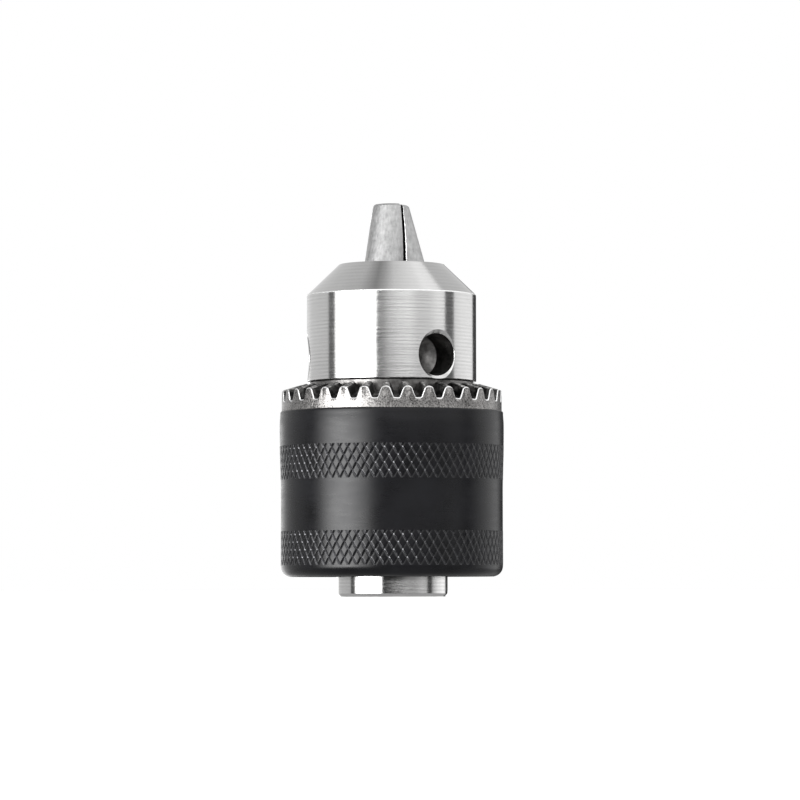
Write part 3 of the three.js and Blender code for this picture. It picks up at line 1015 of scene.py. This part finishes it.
def jaw_tip_outline(tip_z):
    """The jaws' tips, turned down together: a rounded shoulder and a flat end."""
    corners = [
        (0, JAW_TAIL_Z, 0),
        (jaw_back_r(JAW_TAIL_Z) + 4, JAW_TAIL_Z, 0),
        (jaw_back_r(tip_z) + 0.02, tip_z, 0.95),
        (0, tip_z, 0),
    ]
    return rounded(corners, steps=8)


def on_slit(side, along, into_jaw):
    """A point on the middle plane of the slit at one side of a jaw, moved from it into the jaw."""
    azimuth = side * math.pi / JAW_COUNT + SLIT_TURN
    c, s = math.cos(azimuth), math.sin(azimuth)
    return Vector((along * c + side * into_jaw * s, along * s - side * into_jaw * c, 0))


def jaw_sector():
    """The wedge of space that one shut jaw fills, with its narrow gripping land towards the spindle axis."""
    reach = 40
    corners = ((-1, JAW_LAND), (-1, reach), (1, reach), (1, JAW_LAND))
    outline = [on_slit(side, along, JAW_SLIT / 2) for side, along in corners]
    skin = Skin()
    foot = skin.ring([(x, y, JAW_TAIL_Z - 5) for x, y, _ in outline])
    head = skin.ring([(x, y, JAW_TIP_Z + 5) for x, y, _ in outline])
    skin.band(foot, head, 0)
    skin.face(foot[::-1], 0)
    skin.face(head, 0)
    return skin.object("cutter")


def slit_edge(z, side):
    """Where a jaw's round back meets the slit at one side of it."""
    axis = Vector((jaw_axis_r(z), 0, 0))
    stretch = Matrix.Diagonal((1 / JAW_HALF_DEPTH, 1 / JAW_R, 0))
    start = stretch @ (on_slit(side, 0, JAW_SLIT / 2) - axis)
    way = stretch @ on_slit(side, 1, 0)
    a, b, c = way.dot(way), way.dot(start), start.dot(start) - 1
    out = (math.sqrt(b * b - a * c) - b) / a
    return on_slit(side, out, JAW_SLIT / 2) + Vector((0, 0, z))


def slit_edge_cutter(side):
    """Cuts a small chamfer along the edge between a jaw's round back and the slit beside it."""
    past = 2.0
    skin = Skin()
    rings = []
    for z in np.linspace(NOSE_Z - 1, JAW_TIP_Z + 0.5, 12):
        edge = slit_edge(z, side)
        from_slit = on_slit(side, 0, -1)
        from_back = Vector(((edge.x - jaw_axis_r(z)) / JAW_HALF_DEPTH**2, edge.y / JAW_R**2, 0)).normalized()
        way = (from_slit + from_back).normalized()
        aside = Vector((-way.y, way.x, 0)) * past
        near = edge - way * SLIT_EDGE
        far = near + way * past
        rings.append(skin.ring([tuple(p) for p in (near - aside, far - aside, far + aside, near + aside)]))
    for low, high in zip(rings, rings[1:]):
        skin.band(low, high, 0)
    skin.face(rings[0][::-1], 0)
    skin.face(rings[-1], 0)
    return skin.object("cutter")


def thread_grooves(azimuth):
    """The grooves on a jaw's back that the nut's thread runs in, tilted by the thread's lead."""
    depth = THREAD_BITE + 0.25
    past = 1.6
    thread_r = 15
    flank_angle = math.radians(15)
    half_floor = 0.38
    half_mouth = half_floor + (depth + past) * math.tan(flank_angle)
    lean = half_floor * JAW_SLOPE
    tilt = Matrix.Rotation(math.atan(THREAD_LEAD / (TURN * thread_r)), 4, "X")
    last_z = NUT_FRONT_Z + JAW_OUTWARD_TRAVEL / JAW_SLOPE + THREAD_LEAD
    cutters = []
    z = NUT_REAR_Z + THREAD_LEAD * azimuth / TURN
    while z < last_z:
        if z > JAW_TAIL_Z - THREAD_LEAD:
            back = jaw_back_r(z)
            outline = [
                (back - depth + lean, -half_floor),
                (back + past, -half_mouth),
                (back + past, half_mouth),
                (back - depth - lean, half_floor),
            ]
            cutters.append(spun(outline, 96, Matrix.Translation((0, 0, z)) @ tilt))
        z += THREAD_LEAD
    return cutters


def jaw_room():
    """The space inside the sleeve that an open jaw may fill, moved in with the jaw to where it is shut."""
    room_r = 19.6
    low, high = 20, 90
    shut = Matrix.Translation((-JAW_OUTWARD_TRAVEL, 0, 0))
    return spun([(0, low), (room_r, low), (room_r, high), (0, high)], 192, shut)


def jaw_finish(polygon, surface):
    """The finish of a face of a jaw, by where it faces and by the number of its turned surface, or -1."""
    outward = polygon.center.x * polygon.normal.x + polygon.center.y * polygon.normal.y > 0.5
    # The edges beside the slits are near white: partly wear, partly a painted highlight.
    if surface < 0 and outward and polygon.center.z > NOSE_Z:
        return JAW_EDGE
    # A jaw's sides and the faces in its slits get the darkened steel: painted shade.
    return JAW_BACK if surface >= 0 or outward else JAW_SIDE


def jaw(number):
    azimuth = TURN * (number - 1) / JAW_COUNT
    foot = (JAW_TAIL_Z - NOSE_Z) / math.cos(JAW_ANGLE) - 3
    head = (JAW_TIP_Z - NOSE_Z) / math.cos(JAW_ANGLE) + 3
    rod_outline = [(0, foot), (JAW_R, foot), (JAW_R, head), (0, head)]
    tip_outline = jaw_tip_outline(JAW_TIP_Z - JAW_SHORT_BY[number - 1])
    made = spun(rod_outline, 128, jaw_line(0), name=f"ground_jaw_{number}")
    combine(made, [spun(tip_outline, 128), jaw_room(), jaw_sector()], "INTERSECT")
    combine(made, [slit_edge_cutter(side) for side in (1, -1)])
    combine(made, thread_grooves(azimuth))
    owner = shade(made, [Turning(rod_outline, jaw_line(0)), Turning(tip_outline)])
    for polygon, surface in zip(made.data.polygons, owner):
        polygon.material_index = jaw_finish(polygon, surface)
    made.data.transform(about_z(azimuth))
    body = ("first_jaw", "second_jaw", "third_jaw")[number - 1]
    finish_piece(made, [GROUND, SHADED_RECESS, WORN_AND_HIGHLIGHT], body, f"jaw_{number}")


# ---- Studio ----


def panels(stops, start, end):
    """Stops for a colour ramp over start..end, from (position, brightness) pairs."""
    return [((at - start) / (end - start), light / BRIGHTEST) for at, light in stops]


def studio_world():
    """A room with a bright soft box at the left, weaker panels at the right and dark gaps between them.
    The camera itself sees plain white."""
    world = bpy.data.worlds.new("studio")
    bpy.context.scene.world = world
    world.use_nodes = True
    world.node_tree.nodes.clear()
    room = Nodes(world.node_tree)
    way = room.add("ShaderNodeTexCoord").outputs["Generated"]
    turn = {"Vector": way, "Angle": -VIEW_AZIMUTH}
    x, y, z = room.axes(room.add("ShaderNodeVectorRotate", turn, rotation_type="Z_AXIS").outputs[0])
    azimuth = room.math("ARCTAN2", x, room.math("MULTIPLY", y, -1.0))
    share = room.between(azimuth, 0.0, 1.0, -math.pi, math.pi)
    round_the_room = (LOW_LIGHT, WALL_LIGHT, UPPER_LIGHT)
    low, walls, upper = (room.ramp(share, panels(stops, -180, 180)) for stops in round_the_room)
    top = room.ramp(room.between(x, 0.0, 1.0, -0.5, 0.5), panels(TOP_LIGHT, -0.5, 0.5))
    ground = FLOOR_LIGHT / BRIGHTEST
    light = (ground, ground, ground, 1)
    for zone, (start, end) in ((low, LOW_FROM), (walls, WALLS_FROM), (upper, UPPER_FROM), (top, TOP_FROM)):
        light = room.mix(room.between(z, 0.0, 1.0, start, end), light, zone)
    seen = room.add("ShaderNodeBackground", {"Color": (1, 1, 1, 1)}).outputs[0]
    lit = room.add("ShaderNodeBackground", {"Color": light, "Strength": BRIGHTEST}).outputs[0]
    straight = room.add("ShaderNodeLightPath").outputs["Is Camera Ray"]
    choice = room.add("ShaderNodeMixShader", {0: straight, 1: lit, 2: seen})
    room.add("ShaderNodeOutputWorld", {"Surface": choice.outputs[0]})


def floor():
    """A plain pale floor under the collar, lit evenly from above."""
    mesh = bpy.data.meshes.new("floor")
    reach = 3.0
    corners = [(-reach, -reach, 0), (reach, -reach, 0), (reach, reach, 0), (-reach, reach, 0)]
    mesh.from_pydata(corners, [], [(0, 1, 2, 3)])
    made = bpy.data.objects.new("floor", mesh)
    bpy.context.collection.objects.link(made)
    material = bpy.data.materials.new("pale_floor")
    material.use_nodes = True
    shader = material.node_tree.nodes["Principled BSDF"]
    shader.inputs["Base Color"].default_value = (0.93, 0.93, 0.93, 1)
    shader.inputs["Roughness"].default_value = 1.0
    shader.inputs["Specular IOR Level"].default_value = 0.0
    mesh.materials.append(material)
    made.visible_glossy = False
    light = bpy.data.lights.new("sky", "SUN")
    light.angle = math.radians(60)
    light.energy = 2.0
    sky = bpy.data.objects.new("sky", light)
    bpy.context.collection.objects.link(sky)
    sky.visible_glossy = False


def soft_light(name, azimuth, elevation, distance, size, power):
    """A square soft light that faces the middle of the chuck. Azimuths are counted from the camera."""
    light = bpy.data.lights.new(name, "AREA")
    light.size = size
    light.energy = power
    made = bpy.data.objects.new(name, light)
    bpy.context.collection.objects.link(made)
    a, e = VIEW_AZIMUTH + math.radians(azimuth), math.radians(elevation)
    way = Vector((math.sin(a) * math.cos(e), -math.cos(a) * math.cos(e), math.sin(e)))
    made.location = MIDDLE + way * distance
    made.rotation_euler = way.to_track_quat("Z", "Y").to_euler()
    made.visible_camera = False


def camera():
    """Level with the collar, with a long lens."""
    lens = bpy.data.cameras.new("camera")
    lens.lens = 184
    lens.sensor_width = 36
    lens.clip_start = 0.01
    made = bpy.data.objects.new("camera", lens)
    bpy.context.collection.objects.link(made)
    distance = 0.784
    aside = 0.0016
    eye_height = 0.0013
    aim_height = 0.0377
    tilt = math.radians(-0.12)
    eye = Vector((aside, -distance, eye_height))
    aim = Vector((aside, 0, aim_height))
    around = Matrix.Rotation(VIEW_AZIMUTH, 4, "Z")
    looking = (aim - eye).to_track_quat("-Z", "Y").to_matrix().to_4x4()
    roll = Matrix.Rotation(tilt, 4, "Z")
    made.matrix_world = around @ Matrix.Translation(eye) @ looking @ roll
    bpy.context.scene.camera = made


# The camera's azimuth from -Y, positive anticlockwise seen from above
VIEW_AZIMUTH = math.radians(-3)

# Brightness round the room, by azimuth in degrees from the camera, positive to its right. The soft box
# stands from -82 to -22 and is brightest in its middle.
BRIGHTEST = 15.0
SOFT_BOX = [
    (-81.7, 1.8), (-77, 3.2), (-68, 9.8), (-60, 14.2), (-48, 15.0), (-40, 12.4), (-28.5, 7.0), (-22, 3.2),
]
WALL_LIGHT = [
    (-180, 0.85), (-155, 0.85), (-150, 0.82), (-95.6, 0.78), (-94.2, 0.2), (-84, 0.2),
    *SOFT_BOX,
    (-20.5, 0.3), (-12, 0.55), (-3, 1.05), (10, 1.42), (23, 1.5), (36, 1.08), (52, 1.06),
    (67, 1.34), (77, 1.34), (78.5, 0.19), (93.5, 0.19), (95.5, 1.15),
    (143, 1.1), (147, 0.06), (176, 0.06), (178, 0.9),
]
LOW_LIGHT = [
    (-180, 2.1), (-152, 1.7), (-142, 0.72), (-95.6, 0.6), (-94.2, 0.1), (-84, 0.1),
    *SOFT_BOX,
    (-20, 0.03), (-5, 0.04), (5, 0.06), (18, 0.14), (32, 0.34), (48, 0.38),
    (64, 0.6), (78, 0.55), (79.5, 0.08), (90, 0.08), (93, 0.5), (110, 1.15), (130, 1.4),
    (143, 1.2), (147, 0.06), (176, 0.06), (178, 0.9),
]
UPPER_LIGHT = [
    (-180, 0.8), (-140, 0.7), (-125, 0.6), (-100, 0.58), (-70, 0.5), (-50, 0.65), (-20, 1.75), (0, 1.7),
    (25, 1.4), (45, 1.15), (100, 1.3), (120, 1.24), (135, 1.2), (135.6, 0.68), (180, 0.74),
]
FLOOR_LIGHT = 0.5
# Brightness of the ceiling by distance to the right
TOP_LIGHT = [
    (-0.45, 0.65), (-0.34, 0.59), (-0.26, 0.49), (-0.17, 0.34),
    (-0.08, 0.52), (0.03, 0.84), (0.22, 1.04), (0.4, 1.2),
]
# Where each zone of the room blends in over the one below it, by the height of a direction of length 1
LOW_FROM = (-0.3, -0.2)
WALLS_FROM = (0.037, 0.049)
UPPER_FROM = (0.15, 0.27)
TOP_FROM = (0.9, 0.94)

low, high = cad_box
MIDDLE = (Vector(low) + Vector(high)) / 2
GROUND = ground_steel()
SHADED_RECESS = shaded_recess_steel()
WORN_AND_HIGHLIGHT = worn_edge_and_highlight()

camera()
studio_world()
soft_light("key", -52, 22, 0.9, 0.3, 0.4)
soft_light("fill", 60, 30, 1.0, 0.4, 0.4)
floor()
chuck_body()
knurled_sleeve()
for number in range(1, JAW_COUNT + 1):
    jaw(number)
for half in ("nut_half_a", "nut_half_b"):
    frame["nodes"][half].data.materials.clear()
    frame["nodes"][half].data.materials.append(nut_steel())
bpy.context.scene.view_settings.view_transform = "Standard"
